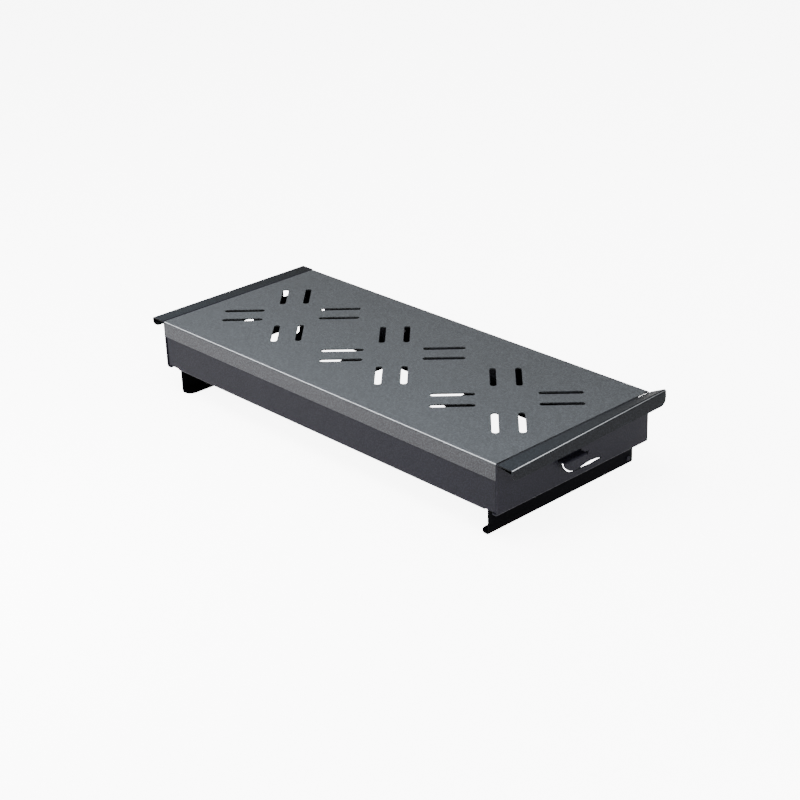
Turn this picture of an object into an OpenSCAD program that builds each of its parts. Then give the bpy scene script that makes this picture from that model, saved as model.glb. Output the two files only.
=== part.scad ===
// Slide-out sheet-metal drawer for the underside of a desk.
// A slotted cover, end panels with side lips and a front wall make the tray.
// The tray runs on two ball slides, which two brackets and a rear tie carry.
// The part lies on its bracket flanges: +Z up, -Y is the way the tray pulls out.

/* [Tray] */
// Length of the tray over the outer faces of its end panels
tray_l = 600; // [560:5:800]
// Depth of the slotted cover from front to back
cover_d = 257; // [250:1:320]
// Height of the tray from its open edge to the top of the cover
tray_h = 64; // [60:1:80]
// Thickness of the tray's sheet
sheet = 1.5; // [1:0.1:2]
// Inside radius of every bend
bend_r = 1.2; // [0.8:0.1:2]
// Height of the cover's front and rear flanges
cover_flange = 21; // [14:1:30]
// Width of the end panels' inward flanges and of the front wall's returns
edge_flange = 8; // [7:1:10]
// Width of the front and rear walls' inward flanges
wall_flange = 15; // [10:1:18]

/* [Vent slots] */
// Number of slot clusters along the cover
clusters = 3; // [2:1:3]
// Distance between cluster centres
cluster_pitch = 193.3; // [180:0.1:200]
// Overall length of one slot
slot_l = 53; // [30:1:56]
// Width of one slot
slot_w = 8; // [4:0.5:10]
// Distance from a cluster's centre to the middle of each slot pair
pair_reach = 63; // [58:1:66]
// Distance between the two slots of a pair
pair_gap = 30.8; // [20:0.1:34]

/* [Side lips] */
// How far a lip stands out from its end panel
lip_out = 23; // [16:1:30]
// Height of a lip's down-turned edge at the front
lip_drop = 14; // [10:1:20]
// Height of the right lip's down-turned edge at the back
lip_drop_back = 19; // [14:1:24]
// How much the right lip's outer edge climbs from front to back
lip_climb = 9; // [0:1:12]
// Radius on the free corners of the lips
lip_corner = 9; // [3:0.5:10]

/* [Finger pulls] */
// Width of the finger pull's shelf
pull_w = 38; // [26:1:44]
// How far the shelf stands out from the end panel
pull_out = 9.5; // [7:0.5:14]
// Width of the half-moon tab below the shelf
tab_w = 42; // [36:1:52]
// Height of the half-moon tab
tab_h = 15; // [11:0.5:17]
// Depth of the shelf below the top of the cover
pull_z = 33.5; // [32:0.5:36]
// Distance of the finger pull's middle from the front of the cover
pull_y = 117; // [110:1:125]

/* [Brackets] */
// Distance from an end panel's outer face to the middle of its bracket
bracket_in = 20.6; // [20:0.1:26]
// Thickness of the bracket sheet
bracket_t = 2; // [1.5:0.1:3]
// How far the brackets reach below the tray
bracket_drop = 33; // [24:1:45]
// Distance from the cover's front to the brackets' front ends
bracket_inset = 7; // [6:1:10]
// Distance from the brackets' back ends to the cover's back
bracket_setback = 6; // [5:1:10]
// Width of a bracket's foot flange
foot_w = 16; // [15:1:24]
// Radius on the corners of the foot flange
foot_corner = 10; // [4:1:12]
// Diameter of the mounting screw holes
screw_hole_d = 5.5; // [4:0.1:7]
// Distance between the mounting holes of one bracket
hole_pitch = 128; // [100:1:160]

/* [Slides] */
// Length of the slide members
slide_l = 176; // [170:1:176]
// Height of the outer slide member
slide_h = 24; // [24:0.5:25]
// Thickness of a slide, both members together
slide_t = 12.7; // [12:0.1:13.4]
// Thickness of the slide members' steel
slide_sheet = 1.2; // [1:0.1:1.3]
// Diameter of the slide balls
ball_d = 3; // [2.6:0.1:3.1]
// Clearance between a ball and its races
ball_gap = 0.15; // [0.1:0.05:0.2]
// Balls in one row
balls = 5; // [3:1:6]
// Distance between neighbouring balls
ball_pitch = 13; // [10:0.5:13]

/* [Rear straps] */
// Width of a rear strap
strap_w = 58; // [40:1:70]
// Distance of a strap's middle from the middle of the tray
strap_x = 96; // [80:1:110]
// Depth of the strap's arm below the top of the cover
strap_z = 52; // [48:1:54]
// How far a strap's arm reaches forward of the rear wall
strap_reach = 110; // [60:1:115]

/* [Hidden] */

$fn = 48;
eps = 0.01;
seam = 0.4;              // visible gap between two sheets that lie edge to edge
clear = 1;               // running clearance between the tray and the brackets
through = 60;            // length of a cutter that has to pass a sheet
bend_o = bend_r + sheet; // outside radius of a tray bend
foot_bend = bend_r + bracket_t;

// Levels, from the mounting plane up
top_z = bracket_drop + tray_h;
open_z = bracket_drop;
under_z = top_z - sheet;

// Fore-and-aft places
front_y = -cover_d / 2;
back_y = cover_d / 2;
wall_front_y = front_y + sheet;
wall_back_y = back_y - sheet;
panel_front_y = front_y + seam;
panel_back_y = back_y - 2 * sheet;
wall_h = tray_h - sheet - bend_r;
corner_lift = bend_o;    // how far the front wall's ends stay above the end panels' flanges

// Sideways places, on the right-hand side
panel_x = tray_l / 2;
panel_in_x = panel_x - sheet;
bracket_x = panel_x - bracket_in;
bracket_out_x = bracket_x + bracket_t / 2;
bracket_in_x = bracket_x - bracket_t / 2;
slide_x = bracket_out_x;
spacer_x = slide_x + slide_t;
rear_half_l = bracket_in_x - 2 * clear;
leg_inset = 20;

// Slide levels and places
slide_top_z = under_z - 1.5 * clear;
slide_mid_z = slide_top_z - slide_h / 2;
slide_front_y = front_y + bracket_inset;
slide_back_y = slide_front_y + slide_l;
ball_z = slide_h / 2 - slide_sheet - ball_gap - ball_d / 2;
ball_x = 0.41 * slide_t;
race_r = ball_d / 2 + ball_gap;
inner_h = 2 * (ball_z - race_r);
cage_l = (balls - 1) * ball_pitch + 4 * ball_d;
stop_t = 3.5;
inner_back_y = slide_back_y - stop_t - clear / 2;
cage_mid_y = (slide_front_y + inner_back_y) / 2;
spacer_front_y = wall_front_y + edge_flange + seam;
spacer_top_z = slide_mid_z + inner_h / 2;
spacer_low_z = slide_mid_z - inner_h / 2;
cage_t = 0.6;

// Bracket outline
bracket_front_y = front_y + bracket_inset;
bracket_back_y = back_y - bracket_setback;
bracket_top_z = under_z - clear;
bracket_corner = 6;
step_y = slide_back_y + 2 * clear;
step_z = bracket_top_z - 14;
window_top_z = slide_top_z - slide_h - sheet;
window_low_z = 22;
window_l = 164;
window_h = 12;
window_leg_w = 40;
window_corner = 5;

// Rear tie
tie_flange = 14;
tie_tab = 16;
tie_rivet_in = 8;
tie_rivet_z = [8, 24];

// Rear straps
strap_leg = 24;
strap_corner = 8;
strap_rivet_z = top_z - strap_z + 14;
rivet_spread = 0.28;     // rivets from the middle, as a share of a strip's width

// Finger window and cable pass-through in the end panels
moon_y = front_y + pull_y + 10;
moon_top = 37.5;
moon_low = 55.2;
moon_half = tab_w / 2 + sheet;
crescent_y = front_y + pull_y + 35.5;
crescent_half = 21;
crescent_z = 55;
crescent_up = 3.4;
crescent_down = 0.9;
pull_rivet_z = top_z - pull_z + 7;
cable_y = 206;
cable_z = 18;
cable_l = 24;
cable_h = 14;

// Fasteners
rivet_r = 1.6;
rivet_head_r = 3.2;
rivet_head_h = 1;
screw_r = 1.9;
screw_head_r = 3.6;
screw_head_h = 1.4;
screw_tail = 1.2;
hole_gap = 0.1;
slide_screw_in = 20;
slide_screw_y = [slide_front_y + slide_screw_in, slide_back_y - slide_screw_in];

// ---------- sheet profiles ----------

// Quarter ring in the first quadrant, inside radius r and thickness t
module bend2d(r, t) {
  intersection() {
    difference() {
      circle(r = r + t);
      circle(r = r);
    }
    square(r + t);
  }
}

// Folded corner with its outside corner at the origin and legs a along +x and b along +y
module angle2d(a, b, t) {
  r = bend_r + t;
  translate([r, 0]) square([a - r, t]);
  translate([0, r]) square([t, b - r]);
  translate([r, r]) rotate(180) bend2d(bend_r, t);
}

// Channel standing on the y axis: web l tall, both legs a long towards +x
module channel2d(a, l, t) {
  angle2d(a, l / 2 + eps, t);
  translate([0, l]) mirror([0, 1]) angle2d(a, l / 2 + eps, t);
}

// Plate with four round corners, its low corner at the origin
module round_plate2d(w, h, r) {
  translate([r, 0]) square([w - 2 * r, h]);
  translate([0, r]) square([w, h - 2 * r]);
  for (x = [r, w - r], y = [r, h - r]) translate([x, y]) circle(r = r);
}

// Extrudes an x-z outline along y from y0 to y1
module along_y(y0, y1) {
  translate([0, y1, 0]) rotate([90, 0, 0]) linear_extrude(y1 - y0) children();
}

// Extrudes a y-z outline along x from x0 to x1
module along_x(x0, x1) {
  translate([x0, 0, 0]) rotate([90, 0, 90]) linear_extrude(x1 - x0) children();
}

// A piece and its mirror image on the other side
module both_sides() {
  children();
  mirror([1, 0, 0]) children();
}

// Slot with round ends along x, centred on the origin
module slot2d(l, w) {
  square([l - w, w], center = true);
  for (s = [-1, 1]) translate([s * (l - w) / 2, 0]) circle(d = w);
}

// Removes the square corner outside a radius r at the origin, material lying towards +x +y
module corner_cut2d(r) {
  difference() {
    translate([-1, -1]) square(r + 1);
    translate([r, r]) circle(r = r);
  }
}

// ---------- tray ----------

module vent_slots() {
  for (c = [0 : clusters - 1], arm = [45 : 90 : 315], side = [-1, 1])
    translate([(c - (clusters - 1) / 2) * cluster_pitch, 0, under_z - 1])
      rotate(arm)
        translate([pair_reach, side * pair_gap / 2, 0])
          linear_extrude(sheet + 2) slot2d(slot_l, slot_w);
}

module cover_plate() {
  half = panel_in_x - seam;
  color("#3b4046") difference() {
    union() {
      along_x(-half, half)
        translate([front_y, top_z]) rotate(-90) channel2d(cover_flange, cover_d, sheet);
      // end legs, welded to the end panels
      both_sides()
        translate([panel_in_x - sheet, front_y + leg_inset, spacer_top_z + clear])
          cube([sheet, cover_d - 2 * leg_inset, under_z - spacer_top_z - clear + sheet / 2]);
    }
    vent_slots();
    both_sides()
      translate([rear_half_l, back_y - bend_o - 1, top_z - cover_flange - 1])
        cube([tray_l, bend_o + 2, cover_flange + 1 - sheet]);
  }
}

module front_wall() {
  half = panel_in_x;
  color("#2c3036") {
    difference() {
      along_x(-half + bend_o, half - bend_o)
        translate([wall_front_y, open_z]) angle2d(wall_flange, wall_h, sheet);
      // short of the brackets the flange stops and the wall's edge steps up
      both_sides() translate([bracket_in_x - clear, front_y, open_z - 1])
        cube([tray_l, wall_flange + 2 * sheet, corner_lift + 1]);
    }
    both_sides()
      translate([half, wall_front_y, open_z + corner_lift]) linear_extrude(wall_h - corner_lift)
        mirror([1, 0]) angle2d(bend_o + eps, edge_flange, sheet);
  }
}

module rear_wall() {
  color("#2c3036") difference() {
    along_x(-rear_half_l, rear_half_l)
      translate([wall_back_y, open_z]) mirror([1, 0]) angle2d(wall_flange, wall_h, sheet);
    strap_rivet_places() translate([0, 0, -1]) cylinder(r = rivet_r + hole_gap, h = 4 * sheet + 2);
  }
}

// The four rivet places of the rear straps, +z there pointing forward through the sheets
module strap_rivet_places() {
  for (side = [-1, 1], s = [-1, 1])
    translate([side * strap_x + s * strap_w * rivet_spread, wall_back_y, strap_rivet_z])
      rotate([90, 0, 0]) children();
}

// Points of an arc about cx, cy
function arc(cx, cy, r, a0, a1) = [
  for (i = [0 : 8]) let (a = a0 + (a1 - a0) * i / 8) [cx + r * cos(a), cy + r * sin(a)]
];

// Section of a lip: climb raises its outer edge, drop is its down-turned edge
function lip_section(climb, drop) = let (
  x0 = panel_x + bend_r,
  cx = panel_x + lip_out - bend_o,
  cz = top_z + climb - bend_o
) concat(
  [[x0, top_z - sheet], [x0, top_z]],
  arc(cx, cz, bend_o, 90, 0),
  [[cx + bend_o, cz + bend_o - drop], [cx + bend_r, cz + bend_o - drop]],
  arc(cx, cz, bend_r, 0, 90)
);

// Solid through equal-length x-z sections, one at each y of ys.
// The second half of a section runs back along the first, so its seams lean the other way.
module loft(sections, ys) {
  n = len(sections[0]);
  last = len(ys) - 1;
  points = [for (k = [0 : last]) for (p = sections[k]) [p[0], ys[k], p[1]]];
  sides = [
    for (k = [0 : last - 1], i = [0 : n - 1])
      let (a = k * n + i, b = k * n + (i + 1) % n)
        each (i > n / 2 ? [[a, a + n, b + n], [a, b + n, b]] : [[a, a + n, b], [b, a + n, b + n]])
  ];
  ends = [[for (i = [0 : n - 1]) i], [for (i = [n - 1 : -1 : 0]) last * n + i]];
  polyhedron(points, concat(sides, ends));
}

// How much a round corner of radius r takes off an edge at distance d from its end
function corner_loss(d, r) = d < r ? r - sqrt(r * r - (r - d) * (r - d)) : 0;

module side_lip(climb, drop_back) {
  r = min(lip_corner, lip_drop - bend_o - 1);
  corner = [for (i = [0 : 6]) r * (1 - cos(15 * i))];
  steps = climb > 0 ? 16 : 1;
  run = cover_d - 2 * r;
  ys = concat(
    [for (d = corner) front_y + d],
    [for (i = [1 : 1 : steps - 1]) front_y + r + run * i / steps],
    [for (i = [6 : -1 : 0]) back_y - corner[i]]
  );
  sections = [
    for (y = ys)
      let (t = (y - front_y) / cover_d, drop = lip_drop + (drop_back - lip_drop) * t)
        lip_section(climb * t, drop - corner_loss(min(y - front_y, back_y - y), r))
  ];
  color("#2f3339") loft(sections, ys);
}
module side_lip_right() side_lip(lip_climb, lip_drop_back);
module side_lip_left() mirror([1, 0, 0]) side_lip(0, lip_drop);

// Round cap of the given half width and height, standing on the x axis
module cap2d(half, h) {
  r = (half * half + h * h) / (2 * h);
  intersection() {
    translate([0, h - r]) circle(r = r);
    translate([-half, -eps]) square([2 * half, h + eps]);
  }
}

// Half-moon cut-out behind the tab, running on to the back as a thin crescent
module finger_window2d() {
  moon_h = moon_low - moon_top;
  translate([moon_y, top_z - moon_top]) mirror([0, 1]) cap2d(moon_half, moon_h);
  translate([crescent_y, top_z - crescent_z]) {
    cap2d(crescent_half, crescent_up);
    mirror([0, 1]) cap2d(crescent_half, crescent_down);
  }
}

module end_panel_right() {
  color("#2f3339") difference() {
    along_y(panel_front_y, panel_back_y) {
      translate([panel_x, open_z]) mirror([1, 0]) angle2d(edge_flange, tray_h - bend_o, sheet);
      translate([panel_x + bend_r, top_z - bend_o]) rotate(90) bend2d(bend_r, sheet);
    }
    translate([panel_x - through / 2, 0, 0]) rotate([90, 0, 90])
      linear_extrude(through) finger_window2d();
    // slit for the finger pull
    translate([panel_x - through / 2, front_y + pull_y - pull_w / 2 - seam, top_z - pull_z - seam])
      cube([through, pull_w + 2 * seam, sheet + bend_r + 2 * seam]);
    // cable pass-through behind the slide
    translate([panel_x - through / 2, front_y + cable_y, top_z - cable_z]) rotate([90, 0, 90])
      linear_extrude(through / 2 + bend_r) slot2d(cable_l, cable_h);
    for (y = slide_screw_y)
      translate([panel_in_x - 1, y, slide_mid_z]) rotate([0, 90, 0])
        cylinder(r = screw_r + hole_gap, h = sheet + 2);
    pull_rivet_places() translate([0, 0, -1]) cylinder(r = rivet_r + hole_gap, h = sheet + 2);
  }
}
module end_panel_left() mirror([1, 0, 0]) end_panel_right();

module finger_pull_right() {
  y_mid = front_y + pull_y;
  shelf_top = top_z - pull_z + sheet;
  leg = spacer_low_z - clear - shelf_top + sheet;
  color("#26292e") difference() {
    pull_sheet(y_mid, shelf_top, leg);
    pull_rivet_places() cylinder(r = rivet_r + hole_gap, h = 4 * sheet);
  }
}

// The two rivet places of the right finger pull, +z there pointing into the tray
module pull_rivet_places() {
  for (s = [-1, 1])
    translate([panel_x, front_y + pull_y + s * pull_w * rivet_spread, pull_rivet_z])
      rotate([0, -90, 0]) children();
}

// The folded strip of a finger pull: inner leg, shelf and half-moon tab
module pull_sheet(y_mid, shelf_top, leg) {
  tab_r = (tab_w * tab_w / 4 + tab_h * tab_h) / (2 * tab_h);
  union() {
    // inner leg and shelf, one folded strip
    along_y(y_mid - pull_w / 2, y_mid + pull_w / 2) {
      translate([panel_in_x - sheet, shelf_top - sheet])
        angle2d(2 * sheet + pull_out - bend_o + eps, leg, sheet);
      translate([panel_x + pull_out - bend_o, shelf_top - bend_o]) bend2d(bend_r, sheet);
    }
    // half-moon tab
    translate([panel_x + pull_out - sheet, y_mid, 0]) rotate([90, 0, 90]) linear_extrude(sheet)
      intersection() {
        translate([0, shelf_top - tab_h + tab_r]) circle(r = tab_r);
        translate([-tab_w / 2, shelf_top - tab_h]) square([tab_w, tab_h - bend_o + eps]);
      }
  }
}
module finger_pull_left() mirror([1, 0, 0]) finger_pull_right();

// Rivet along +x: head outside at the origin plane, shank through grip, tail inside
module rivet(grip) {
  rotate([0, 90, 0]) {
    cylinder(r = rivet_r, h = grip);
    translate([0, 0, -rivet_head_h]) cylinder(r = rivet_head_r, h = rivet_head_h);
    translate([0, 0, grip]) cylinder(r = rivet_head_r - 0.6, h = rivet_head_h);
  }
}

module pull_rivets() {
  color("#1d1f22") both_sides() pull_rivet_places() rotate([0, -90, 0]) rivet(2 * sheet);
}

module rear_strap_right() {
  arm_top = top_z - strap_z;
  y_back = wall_back_y - sheet;
  color("#26292e") difference() {
    along_x(strap_x - strap_w / 2, strap_x + strap_w / 2)
      translate([y_back, arm_top - sheet]) mirror([1, 0]) angle2d(strap_reach, strap_leg, sheet);
    for (s = [-1, 1])
      translate([strap_x + s * strap_w / 2, y_back - strap_reach, arm_top - sheet - 1])
        mirror([(s + 1) / 2, 0, 0]) linear_extrude(sheet + 2) corner_cut2d(strap_corner);
    strap_rivet_places() cylinder(r = rivet_r + hole_gap, h = 4 * sheet);
  }
}
module rear_strap_left() mirror([1, 0, 0]) rear_strap_right();

module strap_rivets() {
  color("#1d1f22") strap_rivet_places() rotate([0, -90, 0]) rivet(2 * sheet);
}

// ---------- slides ----------

// Half of the outer member's section: web on the bracket at x = 0, arm and race above
module outer_half2d() {
  translate([0, -eps]) square([slide_sheet, slide_h / 2 + eps]);
  translate([0, slide_h / 2 - slide_sheet]) square([ball_x, slide_sheet]);
  translate([ball_x, ball_z]) bend2d(race_r, slide_sheet);
}

// Half of the inner member's section: web on the spacer, arm and race inside the outer one
module inner_half2d() {
  arm_z = inner_h / 2;
  translate([slide_t - slide_sheet, -eps]) square([slide_sheet, arm_z + eps]);
  translate([ball_x, arm_z - slide_sheet]) square([slide_t - ball_x, slide_sheet]);
  translate([ball_x, ball_z]) rotate(180) bend2d(race_r, slide_sheet);
}

// Half of the ball cage's section: web beside the outer member's web, arm across the balls
module cage_half2d() {
  web_x = slide_sheet + 0.3;
  arm_z = ball_z + ball_d / 4;
  translate([web_x, -eps]) square([cage_t, arm_z + eps]);
  translate([web_x, arm_z - cage_t / 2]) square([ball_x + 0.5 - web_x, cage_t]);
}

module mirrored2d() {
  children();
  mirror([0, 1]) children();
}

module outer_rail_right() {
  color("#8d9298") difference() {
    along_y(slide_front_y, slide_back_y)
      translate([slide_x, slide_mid_z]) mirrored2d() outer_half2d();
    for (y = slide_screw_y)
      translate([slide_x, y, slide_mid_z]) rotate([0, 90, 0]) {
        translate([0, 0, -1]) cylinder(r = screw_r + hole_gap, h = slide_sheet + 2);
        cylinder(r1 = screw_r + hole_gap, r2 = screw_head_r + hole_gap, h = slide_sheet);
      }
  }
}
module outer_rail_left() mirror([1, 0, 0]) outer_rail_right();

module inner_rail_right() {
  color("#9aa0a6") difference() {
    along_y(slide_front_y, inner_back_y)
      translate([slide_x, slide_mid_z]) mirrored2d() inner_half2d();
    for (y = slide_screw_y)
      translate([spacer_x - slide_sheet - 1, y, slide_mid_z]) rotate([0, 90, 0])
        cylinder(r = screw_r + hole_gap, h = slide_sheet + 2);
  }
}
module inner_rail_left() mirror([1, 0, 0]) inner_rail_right();

module ball_row() {
  for (i = [0 : balls - 1], s = [-1, 1])
    translate([slide_x + ball_x, cage_mid_y + (i - (balls - 1) / 2) * ball_pitch, slide_mid_z + s * ball_z])
      children();
}

module ball_cage_right() {
  color("#b3a26a") difference() {
    along_y(cage_mid_y - cage_l / 2, cage_mid_y + cage_l / 2)
      translate([slide_x, slide_mid_z]) mirrored2d() cage_half2d();
    ball_row() translate([0, 0, -2]) cylinder(r = ball_d / 2 + 0.05, h = 4);
  }
}
module ball_cage_left() mirror([1, 0, 0]) ball_cage_right();

module cage_balls_right() color("#c8ccd0") ball_row() sphere(d = ball_d);
module cage_balls_left() mirror([1, 0, 0]) cage_balls_right();

module slide_spacer_right() {
  color("#1b1c1e") difference() {
    along_y(spacer_front_y, inner_back_y)
      translate([spacer_x, spacer_low_z]) square([panel_in_x - spacer_x, inner_h]);
    for (y = slide_screw_y)
      translate([spacer_x - 1, y, slide_mid_z]) rotate([0, 90, 0])
        cylinder(r = screw_r + hole_gap, h = panel_in_x - spacer_x + 2);
  }
}
module slide_spacer_left() mirror([1, 0, 0]) slide_spacer_right();

// Pan-head screw along +x: head inside the slide at the origin plane
module slide_screw(grip) {
  rotate([0, 90, 0]) {
    cylinder(r = screw_r, h = grip);
    translate([0, 0, -screw_head_h]) cylinder(r = screw_head_r, h = screw_head_h);
  }
}

// These hold the inner rails and their spacers on the end panels
module panel_screws() {
  color("#5b5f64") both_sides() for (y = slide_screw_y)
    translate([spacer_x - slide_sheet, y, slide_mid_z])
      slide_screw(panel_x - spacer_x + slide_sheet);
}

// Countersunk screws that hold the outer rails on the brackets
module bracket_screws() {
  color("#5b5f64") both_sides() for (y = slide_screw_y)
    translate([slide_x + slide_sheet, y, slide_mid_z]) rotate([0, -90, 0]) {
      cylinder(r1 = screw_head_r, r2 = screw_r, h = slide_sheet);
      cylinder(r = screw_r, h = slide_sheet + bracket_t + screw_tail);
    }
}

// Rubber block that fills the rear end of the outer rail
module rail_stop_right() {
  stop_h = slide_h - 2 * slide_sheet;
  color("#141414")
    translate([slide_x + slide_sheet, slide_back_y - stop_t, slide_mid_z]) {
      translate([0, 0, -stop_h / 2]) cube([ball_x - slide_sheet, stop_t, stop_h]);
      translate([0, 0, -inner_h / 2]) cube([slide_t - 2 * slide_sheet, stop_t, inner_h]);
    }
}
module rail_stop_left() mirror([1, 0, 0]) rail_stop_right();

// ---------- fixed frame ----------

// Window through the bracket: an upright leg for the fingers over a long low opening
module bracket_window2d() {
  translate([-window_leg_w / 2, window_low_z])
    round_plate2d(window_leg_w, window_top_z - window_low_z, window_corner);
  translate([-window_l / 2, window_low_z]) round_plate2d(window_l, window_h, window_corner);
}

module bracket_right() {
  color("#1c1e21") difference() {
    along_y(bracket_front_y, bracket_back_y)
      translate([bracket_out_x, 0]) mirror([1, 0])
        angle2d(foot_w, bracket_top_z, bracket_t);
    translate([bracket_in_x - 1, 0, 0]) rotate([90, 0, 90]) linear_extrude(bracket_t + 2) {
      bracket_window2d();
      // the rear top steps down behind the slide
      translate([step_y, step_z]) square([cover_d, through]);
      translate([bracket_front_y, bracket_top_z]) mirror([0, 1]) corner_cut2d(bracket_corner);
    }
    // rounded free corners of the foot
    for (s = [0, 1])
      translate([bracket_out_x - foot_w, s == 0 ? bracket_front_y : bracket_back_y, -1])
        mirror([0, s, 0]) linear_extrude(bracket_t + 2) corner_cut2d(foot_corner);
    for (s = [-1, 1])
      translate([bracket_out_x - foot_w / 2 - 1, s * hole_pitch / 2, -1])
        cylinder(d = screw_hole_d, h = bracket_t + 2);
    for (y = slide_screw_y)
      translate([bracket_in_x - 1, y, slide_mid_z]) rotate([0, 90, 0])
        cylinder(r = screw_r + hole_gap, h = bracket_t + 2);
    for (z = tie_rivet_z)
      translate([bracket_in_x - 1, bracket_back_y - tie_rivet_in, z]) rotate([0, 90, 0])
        cylinder(r = rivet_r + hole_gap, h = bracket_t + 2);
  }
}
module bracket_left() mirror([1, 0, 0]) bracket_right();

// Tie between the brackets: an upright web with a stiffening flange and two riveted end tabs
module rear_tie() {
  web_top = bracket_drop - clear;
  web_low = bracket_t + seam;
  tab_low = bracket_t + bend_r + seam;
  half = bracket_in_x;
  color("#1c1e21") {
    along_x(-half + foot_bend, half - foot_bend)
      translate([bracket_back_y, web_top]) mirror([1, 0]) mirror([0, 1])
        angle2d(tie_flange, web_top - web_low, bracket_t);
    both_sides() difference() {
      translate([half, bracket_back_y, tab_low]) linear_extrude(web_top - tab_low - foot_bend)
        mirror([1, 0]) mirror([0, 1]) angle2d(foot_bend + eps, tie_tab, bracket_t);
      for (z = tie_rivet_z)
        translate([half - bracket_t - 1, bracket_back_y - tie_rivet_in, z]) rotate([0, 90, 0])
          cylinder(r = rivet_r + hole_gap, h = bracket_t + 2);
    }
  }
}

module tie_rivets() {
  color("#1d1f22") both_sides() for (z = tie_rivet_z)
    translate([bracket_out_x, bracket_back_y - tie_rivet_in, z]) mirror([1, 0, 0]) rivet(2 * bracket_t);
}

cover_plate();
front_wall();
rear_wall();
end_panel_left();
end_panel_right();
side_lip_left();
side_lip_right();
finger_pull_left();
finger_pull_right();
pull_rivets();
rear_strap_left();
rear_strap_right();
strap_rivets();
inner_rail_left();
inner_rail_right();
slide_spacer_left();
slide_spacer_right();
panel_screws();
bracket_left();
bracket_right();
rear_tie();
tie_rivets();
outer_rail_left();
outer_rail_right();
bracket_screws();
rail_stop_left();
rail_stop_right();
ball_cage_left();
ball_cage_right();
cage_balls_left();
cage_balls_right();
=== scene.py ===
"""Looks of the under desk drawer, which lies on its bracket flanges with the slotted cover up.

Every CAD node keeps its shape and gets a procedural finish: textured powder coat on the sheet
metal, plated steel on the slides and fasteners, nylon spacers and rubber stops. The powder coat
also holds painted light: painted highlights along folds, painted shade on upright faces and a
painted falloff of light from front to back. The drawer is in a pale studio, seen from the
photograph's angle. Lengths are in metres.
"""

import math

import bpy
from mathutils import Matrix, Vector


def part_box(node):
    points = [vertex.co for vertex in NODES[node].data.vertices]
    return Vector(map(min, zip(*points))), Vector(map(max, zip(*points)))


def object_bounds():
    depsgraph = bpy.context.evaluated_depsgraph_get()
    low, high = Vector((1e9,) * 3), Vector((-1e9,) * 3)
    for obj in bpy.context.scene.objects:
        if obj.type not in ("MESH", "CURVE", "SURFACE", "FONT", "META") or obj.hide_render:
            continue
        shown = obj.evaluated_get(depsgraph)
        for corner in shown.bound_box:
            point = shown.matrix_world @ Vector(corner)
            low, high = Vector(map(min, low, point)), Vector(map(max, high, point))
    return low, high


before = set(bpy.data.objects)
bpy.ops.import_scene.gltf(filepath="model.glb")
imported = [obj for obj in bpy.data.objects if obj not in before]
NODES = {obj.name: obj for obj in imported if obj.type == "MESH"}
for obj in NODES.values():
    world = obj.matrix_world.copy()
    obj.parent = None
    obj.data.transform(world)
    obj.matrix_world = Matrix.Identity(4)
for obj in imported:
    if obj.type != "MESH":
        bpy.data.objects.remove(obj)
CAD_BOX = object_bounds()

# ---------------------------------------------------------------- values of the finishes

# The paints look lighter than these numbers, because the render's view transform lifts dark tones.
COVER_COLOUR = (0.0220, 0.0252, 0.0285)
# Painted shade: the upright faces of the cover and of the lips get darker copies of their colour.
COVER_SIDE_PAINTED_SHADE = (0.0074, 0.0069, 0.0092)
PANEL_COLOUR = (0.0050, 0.0049, 0.0074)
LIP_COLOUR = (0.0070, 0.0084, 0.0100)
LIP_SIDE_PAINTED_SHADE = (0.0038, 0.0040, 0.0048)
BRACKET_COLOUR = (0.0005, 0.0005, 0.0007)
# Painted highlight: the colour painted along a fold, standing in for the light it catches.
FOLD_PAINTED_HIGHLIGHT = (0.40, 0.41, 0.43)  # thin line where a fold catches the light
ZINC_COLOUR = (0.56, 0.57, 0.58)
CAGE_COLOUR = (0.50, 0.47, 0.36)
BALL_COLOUR = (0.80, 0.81, 0.82)
DARK_STEEL_COLOUR = (0.055, 0.056, 0.060)
NYLON_COLOUR = (0.022, 0.022, 0.024)
RUBBER_COLOUR = (0.012, 0.012, 0.012)
PAPER_COLOUR = (0.92, 0.92, 0.92)

# Noise layers as (scale, detail, roughness). At scale 1000 a feature is about a millimetre wide.
FINE_GRAIN = (1300, 3.0, 0.6)
ORANGE_PEEL = (420, 2.0, 0.5)
PAINT_CLOUDS = (7, 3.0, 0.55)
PAINT_SPECKS = (560, 1.0, 0.4)
WEAR_AND_HIGHLIGHT_PATCHES = (90, 4.0, 0.6)
DRAWN_LINES = (1.0, 4.0, 0.6)
PLATE_MOTTLE = (60, 3.0, 0.6)
OIL_HAZE = (400, 2.0, 0.5)
MOULD_PITS = (1800, 2.0, 0.5)
MOULD_CLOUDS = (30, 3.0, 0.6)
PAPER_FIBRES = (40, 2.0, 0.5)

# How far drawn lines are squeezed along X, Y and Z: lines along the slides, or no direction.
ALONG_SLIDE = (900, 12, 900)
NO_DIRECTION = (300, 300, 300)

BEVEL_SAMPLES = 6
SOFTENED_EDGE = 0.0004  # rounding that the shading gives each edge
WEAR_AND_HIGHLIGHT_EDGE = 0.0007  # reach of the lighter paint from an edge: partly thinner paint, partly a painted highlight
MASK_BLUR = 0.0005  # half the width over which a place mask changes

COAT_ROUGH = 0.42
BRACKET_ROUGH = 0.5
COVER_GRAIN = 0.9
SHEET_GRAIN = 0.35
PEEL_BUMP = 0.20
GRAIN_BUMP = 0.55
COAT_BUMP_HEIGHT = 0.0004
COAT_IOR = 1.5

# Farther than this from the middle the cover has only its front and back flanges, and its upright
# faces nearer the middle are the cut edges of the slots, which get a deeper painted shade.
COVER_FLANGE_Y = 0.12
SLOT_EDGE_SHADE = 0.1
# The lips' painted highlight is only on the outer fold, in the last few millimetres.
LIP_FOLD_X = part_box("side_lip_right")[1][0] - 0.003
FAR_PAINTED_HIGHLIGHT = 0.2  # how much of a coat's painted fold highlight is left at the back

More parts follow.
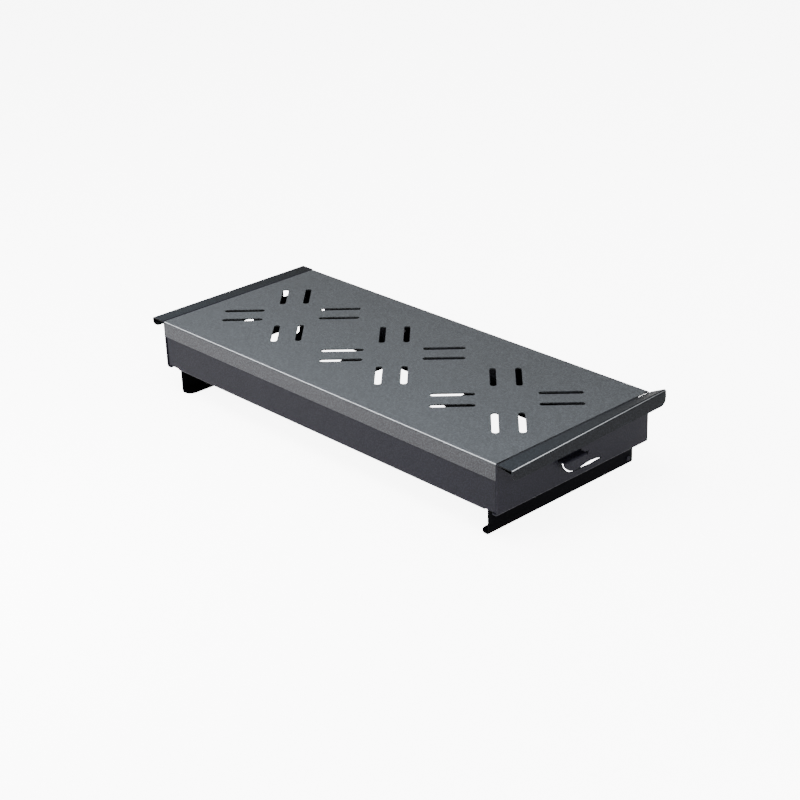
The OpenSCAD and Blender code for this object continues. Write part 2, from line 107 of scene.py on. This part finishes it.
# Painted light falloff: tone at the front and at the back of a coat, as shares of its colour,
# lighter where more light falls.
COVER_PAINTED_FALLOFF = (1.22, 0.70)
LIP_PAINTED_FALLOFF = (1.6, 0.3)
BRACKET_PAINTED_FALLOFF = (1.0, 4.0)


# ---------------------------------------------------------------- materials


class Tree:
    """Builds one material's nodes. A source is a node and one of its outputs."""

    def __init__(self, name):
        self.mat = bpy.data.materials.new(name)
        self.mat.use_nodes = True
        self.nodes = self.mat.node_tree.nodes
        self.nodes.clear()
        self.shader = self.new("BsdfPrincipled")
        self.feed(self.new("OutputMaterial"), "Surface", (self.shader, "BSDF"))
        self.place = (self.new("TexCoord"), "Object")

    def new(self, kind):
        return self.nodes.new("ShaderNode" + kind)

    def feed(self, node, socket, value):
        """Gives a node's input a number or a colour, or links it to a source."""
        if isinstance(value, (int, float)):
            node.inputs[socket].default_value = value
        elif isinstance(value[0], (int, float)):
            node.inputs[socket].default_value = (*value, 1)
        else:
            self.mat.node_tree.links.new(value[0].outputs[value[1]], node.inputs[socket])

    def noise(self, scale, detail, rough, stretch=None):
        node = self.new("TexNoise")
        self.feed(node, "Scale", scale)
        self.feed(node, "Detail", detail)
        self.feed(node, "Roughness", rough)
        place = self.place
        if stretch:
            mapping = self.new("Mapping")
            mapping.inputs["Scale"].default_value = stretch
            self.feed(mapping, "Vector", place)
            place = (mapping, "Vector")
        self.feed(node, "Vector", place)
        return node, "Fac"

    def ramp(self, source, low, high, start, end):
        """Goes evenly from start to end while the source goes from low to high."""
        node = self.new("MapRange")
        self.feed(node, "Value", source)
        self.feed(node, "From Min", low)
        self.feed(node, "From Max", high)
        self.feed(node, "To Min", start)
        self.feed(node, "To Max", end)
        return node, "Result"

    def mix(self, factor, a, b, blend="MIX"):
        """Mixes two colours, each a colour or a source."""
        node = self.new("Mix")
        node.data_type = "RGBA"
        node.blend_type = blend
        for socket, value in ((0, factor), (6, a), (7, b)):
            self.feed(node, socket, value)
        return node, 2

    def maths(self, operation, a, b=0.0):
        node = self.new("Math")
        node.operation = operation
        self.feed(node, 0, a)
        self.feed(node, 1, b)
        return node, "Value"

    def part_of(self, vector, axis):
        """One of the three numbers of a vector source."""
        node = self.new("SeparateXYZ")
        self.feed(node, "Vector", vector)
        return node, axis

    def upward(self):
        """How far the surface faces up: 1 on top, 0 on a side."""
        return self.part_of((self.new("NewGeometry"), "Normal"), "Z")

    def bevel(self, radius):
        node = self.new("Bevel")
        node.samples = BEVEL_SAMPLES
        self.feed(node, "Radius", radius)
        return node, "Normal"

    def edges(self, radius):
        """Factor that rises to 1 along outside and inside edges."""
        dot = self.new("VectorMath")
        dot.operation = "DOT_PRODUCT"
        self.feed(dot, 0, self.bevel(radius))
        self.feed(dot, 1, (self.new("NewGeometry"), "Normal"))
        return self.ramp((dot, "Value"), 0.995, 0.86, 0.0, 1.0)

    def folds(self):
        """Factor that is 1 along the middle of a fold between a top and a side: where the painted
        highlight goes.
        """
        upward = self.upward()
        lean = self.maths("SUBTRACT", self.maths("MULTIPLY", upward, upward), 0.5)
        facing_up = self.ramp(upward, 0.5, 0.6, 0.0, 1.0)
        halfway = self.ramp(self.maths("ABSOLUTE", lean), 0.06, 0.22, 1.0, 0.0)
        return self.maths("MULTIPLY", facing_up, halfway)

    def far_out(self, axis, beyond, front_only=False):
        """Factor that is 1 beyond a distance from the middle, on both sides or at the front only."""
        away = self.part_of(self.place, axis)
        away = self.maths("MULTIPLY", away, -1.0) if front_only else self.maths("ABSOLUTE", away)
        return self.ramp(away, beyond - MASK_BLUR, beyond + MASK_BLUR, 0.0, 1.0)

    def bumps(self, *layers):
        """Stacks bump layers (source, strength, height) on a softly rounded normal."""
        normal = self.bevel(SOFTENED_EDGE)
        for source, strength, height in layers:
            bump = self.new("Bump")
            self.feed(bump, "Strength", strength)
            self.feed(bump, "Distance", height)
            self.feed(bump, "Height", source)
            self.feed(bump, "Normal", normal)
            normal = (bump, "Normal")
        self.feed(self.shader, "Normal", normal)


def scaled(colour, k):
    return tuple(c * k for c in colour)


def powder_coat(
    name, colour, rough, grain, gleam, glint, glint_place=None, fade=None, side=None, slots_within=None
):
    """Fine-textured powder coat: specks, orange peel, cloudy tone and lighter paint on the edges,
    partly wear and partly a painted highlight.

    glint is the colour of the painted highlight along the folds, everywhere or only where
    far_out(*glint_place) is 1.
    fade is the painted light falloff, the tone at the front and at the back. side is the painted
    shade of upright faces, and slots_within the distance from the middle in which they are the
    edges of slots.
    """
    t = Tree(name)
    clouds = t.ramp(t.noise(*PAINT_CLOUDS), 0.3, 0.7, 0.0, 1.0)

    def cloudy(k):
        return t.mix(clouds, scaled(colour, 0.95 * k), scaled(colour, 1.05 * k))

    # Painted light: the tone and the painted fold highlight change from the front to the back.
    if fade:
        back = t.ramp(t.part_of(t.place, "Y"), CAD_BOX[0][1], CAD_BOX[1][1], 0.0, 1.0)
        coat = t.mix(back, cloudy(fade[0]), cloudy(fade[1]))
        glint = t.mix(back, glint, scaled(glint, FAR_PAINTED_HIGHLIGHT))
    else:
        coat = cloudy(1.0)
    # Painted shade: upright faces take the darker side colour, and the slots' cut edges darker still.
    if side:
        if slots_within:
            side = t.mix(t.far_out("Y", slots_within), scaled(side, SLOT_EDGE_SHADE), side)
        coat = t.mix(t.ramp(t.upward(), 0.2, 0.6, 0.0, 1.0), side, coat)
    specks = t.ramp(t.noise(*PAINT_SPECKS), 0.44, 0.64, 0.0, 0.5)
    coat = t.mix(specks, coat, scaled(colour, 1.6), "ADD")
    # Lighter paint along edges in patches: partly wear, partly a painted highlight.
    patches = t.ramp(t.noise(*WEAR_AND_HIGHLIGHT_PATCHES), 0.42, 0.62, 0.25, 1.0)
    coat = t.mix(t.maths("MULTIPLY", t.edges(WEAR_AND_HIGHLIGHT_EDGE), patches), coat, scaled(colour, 1.4))
    # Painted highlight: the glint colour is painted along the folds.
    folds = t.folds()
    if glint_place:
        folds = t.maths("MULTIPLY", folds, t.far_out(*glint_place))
    t.feed(t.shader, "Base Color", t.mix(folds, coat, glint))

    peel = t.noise(*ORANGE_PEEL)
    t.feed(t.shader, "Roughness", t.ramp(peel, 0.3, 0.7, rough - 0.04, rough + 0.05))
    t.bumps(
        (peel, PEEL_BUMP * grain, COAT_BUMP_HEIGHT),
        (t.noise(*FINE_GRAIN), GRAIN_BUMP * grain, COAT_BUMP_HEIGHT),
    )
    t.feed(t.shader, "IOR", COAT_IOR)
    t.feed(t.shader, "Specular IOR Level", gleam)
    return t.mat


def plated(name, colour, rough, stretch=ALONG_SLIDE):
    """Plated steel with drawn lines and a faint mottle."""
    t = Tree(name)
    lines = t.noise(*DRAWN_LINES, stretch=stretch)
    mottle = t.ramp(t.noise(*PLATE_MOTTLE), 0.3, 0.7, 0.0, 1.0)
    t.feed(t.shader, "Base Color", t.mix(mottle, scaled(colour, 0.86), scaled(colour, 1.05)))
    t.feed(t.shader, "Metallic", 1.0)
    t.feed(t.shader, "Roughness", t.ramp(lines, 0.25, 0.75, rough - 0.07, rough + 0.10))
    t.bumps((lines, 0.12, 0.0001))
    return t.mat


def polished(name, colour):
    """Hardened, polished balls with the faintest oil haze."""
    t = Tree(name)
    haze = t.noise(*OIL_HAZE)
    tone = t.ramp(haze, 0.3, 0.7, 0.0, 1.0)
    t.feed(t.shader, "Base Color", t.mix(tone, scaled(colour, 0.93), colour))
    t.feed(t.shader, "Metallic", 1.0)
    t.feed(t.shader, "Roughness", t.ramp(haze, 0.3, 0.7, 0.08, 0.16))
    return t.mat


def moulded(name, colour, rough):
    """Moulded plastic or rubber: matte, finely pitted, slightly uneven in tone."""
    t = Tree(name)
    pits = t.noise(*MOULD_PITS)
    clouds = t.ramp(t.noise(*MOULD_CLOUDS), 0.3, 0.7, 0.0, 1.0)
    t.feed(t.shader, "Base Color", t.mix(clouds, scaled(colour, 0.85), scaled(colour, 1.2)))
    t.feed(t.shader, "Roughness", t.ramp(pits, 0.3, 0.7, rough - 0.05, rough + 0.06))
    t.bumps((pits, 0.25, 0.00015))
    return t.mat


COVER = powder_coat(
    "cover_coat", COVER_COLOUR, COAT_ROUGH, COVER_GRAIN, gleam=0.20,
    glint=FOLD_PAINTED_HIGHLIGHT, glint_place=("Y", COVER_FLANGE_Y, True),
    fade=COVER_PAINTED_FALLOFF, side=COVER_SIDE_PAINTED_SHADE, slots_within=COVER_FLANGE_Y,
)
# The panel and bracket glints are painted highlights: lighter copies of their paint on the folds.
PANEL = powder_coat(
    "panel_coat", PANEL_COLOUR, COAT_ROUGH, SHEET_GRAIN, gleam=0.05, glint=scaled(PANEL_COLOUR, 1.6),
)
LIP = powder_coat(
    "lip_coat", LIP_COLOUR, COAT_ROUGH, SHEET_GRAIN, gleam=0.03,
    glint=FOLD_PAINTED_HIGHLIGHT, glint_place=("X", LIP_FOLD_X),
    fade=LIP_PAINTED_FALLOFF, side=LIP_SIDE_PAINTED_SHADE,
)
BRACKET = powder_coat(
    "bracket_coat", BRACKET_COLOUR, BRACKET_ROUGH, SHEET_GRAIN, gleam=0.01,
    glint=scaled(BRACKET_COLOUR, 2.0), fade=BRACKET_PAINTED_FALLOFF,
)
ZINC = plated("zinc_plate", ZINC_COLOUR, 0.34)
CAGE = plated("cage_plate", CAGE_COLOUR, 0.42)
BALL = polished("ball_polish", BALL_COLOUR)
DARK_STEEL = plated("dark_steel", DARK_STEEL_COLOUR, 0.38, NO_DIRECTION)
NYLON = moulded("spacer_nylon", NYLON_COLOUR, 0.55)
RUBBER = moulded("stop_rubber", RUBBER_COLOUR, 0.75)

# Names of nodes without _left or _right.
FINISH = {
    "cover_plate": COVER,
    "front_wall": PANEL, "rear_wall": PANEL,
    "end_panel": PANEL, "side_lip": LIP, "finger_pull": PANEL,
    "rear_strap": BRACKET, "bracket": BRACKET, "rear_tie": BRACKET,
    "inner_rail": ZINC, "outer_rail": ZINC,
    "ball_cage": CAGE, "cage_balls": BALL,
    "slide_spacer": NYLON, "rail_stop": RUBBER,
    "pull_rivets": DARK_STEEL, "strap_rivets": DARK_STEEL, "tie_rivets": PANEL,
    "panel_screws": DARK_STEEL, "bracket_screws": DARK_STEEL,
}


def dress_cad():
    """Gives each CAD node its finish."""
    for name, node in NODES.items():
        node.data.materials.clear()
        node.data.materials.append(FINISH[name.removesuffix("_left").removesuffix("_right")])


# ---------------------------------------------------------------- studio

FLOOR_HALF_SIZE = 12.0
FLOOR_DROP = 0.0005  # keeps the floor clear of the bracket flanges
FLOOR_GLOW = 0.6  # what the floor gives off to the drawer
FLOOR_GLOW_SEEN = 7.0  # what the camera sees of it, near the photo's white
WORLD_STRENGTH = 0.85

CAMERA_AZIMUTH = 47.565
CAMERA_ELEVATION = 24.794
CAMERA_ROLL = -2.016
CAMERA_LENS_MM = 79.22
CAMERA_SENSOR_MM = 36.0
CAMERA_PLACE = (1.4713, -1.3362, 0.9527)

# Soft boxes: place, point aimed at, width and height, watts.
SOFT_BOXES = {
    "overhead": ((-0.2, -0.5, 2.3), (0, 0, 0.05), (2.2, 1.4), 100),
    "front_left": ((-1.2, -0.7, 0.5), (-0.25, 0, 0.05), (0.5, 0.4), 5),
    "front_mid": ((-0.12, -0.8, 0.5), (-0.12, 0, 0.08), (0.3, 0.3), 9),
    "front_edge": ((-1.6, -1.0, 1.5), (0, 0, 0.05), (0.25, 0.9), 6),
    "lip_edge": ((1.05, 1.55, 1.7), (0.3, 0, 0.08), (0.3, 1.0), 8),
    "right": ((1.7, -0.5, 0.9), (0.3, 0, 0.05), (0.8, 0.8), 26),
}


def add_floor():
    """A plain pale floor that reaches far behind the drawer."""
    s = FLOOR_HALF_SIZE
    mesh = bpy.data.meshes.new("floor")
    mesh.from_pydata([(-s, -s, 0), (s, -s, 0), (s, s, 0), (-s, s, 0)], [], [(0, 1, 2, 3)])
    floor = bpy.data.objects.new("floor", mesh)
    bpy.context.scene.collection.objects.link(floor)
    floor.location.z = -FLOOR_DROP
    t = Tree("floor_paper")
    t.feed(t.shader, "Base Color", PAPER_COLOUR)
    t.feed(t.shader, "Roughness", t.ramp(t.noise(*PAPER_FIBRES), 0.3, 0.7, 0.85, 0.95))
    t.feed(t.shader, "Emission Color", (1, 1, 1))
    seen = (t.new("LightPath"), "Is Camera Ray")
    t.feed(t.shader, "Emission Strength", t.ramp(seen, 0.0, 1.0, FLOOR_GLOW, FLOOR_GLOW_SEEN))
    mesh.materials.append(t.mat)


def add_soft_box(name, place, target, size, power):
    data = bpy.data.lights.new(name, "AREA")
    data.shape = "RECTANGLE"
    data.size, data.size_y = size
    data.energy = power
    light = bpy.data.objects.new(name, data)
    bpy.context.scene.collection.objects.link(light)
    light.location = place
    aim = Vector(target) - Vector(place)
    light.rotation_euler = aim.to_track_quat("-Z", "Y").to_euler()


def add_world():
    world = bpy.data.worlds.new("studio")
    world.use_nodes = True
    background = world.node_tree.nodes["Background"]
    background.inputs["Color"].default_value = (1, 1, 1, 1)
    background.inputs["Strength"].default_value = WORLD_STRENGTH
    bpy.context.scene.world = world


def add_camera():
    """Looks down on the front right corner from the photograph's angle."""
    data = bpy.data.cameras.new("camera")
    data.sensor_width = CAMERA_SENSOR_MM
    data.lens = CAMERA_LENS_MM
    camera = bpy.data.objects.new("camera", data)
    bpy.context.scene.collection.objects.link(camera)
    turn = (
        Matrix.Rotation(math.radians(CAMERA_AZIMUTH), 4, "Z")
        @ Matrix.Rotation(math.radians(90 - CAMERA_ELEVATION), 4, "X")
        @ Matrix.Rotation(math.radians(CAMERA_ROLL), 4, "Z")
    )
    camera.matrix_world = Matrix.Translation(CAMERA_PLACE) @ turn
    bpy.context.scene.camera = camera


dress_cad()
add_floor()
add_camera()
add_world()
for box_name, box in SOFT_BOXES.items():
    add_soft_box(box_name, *box)
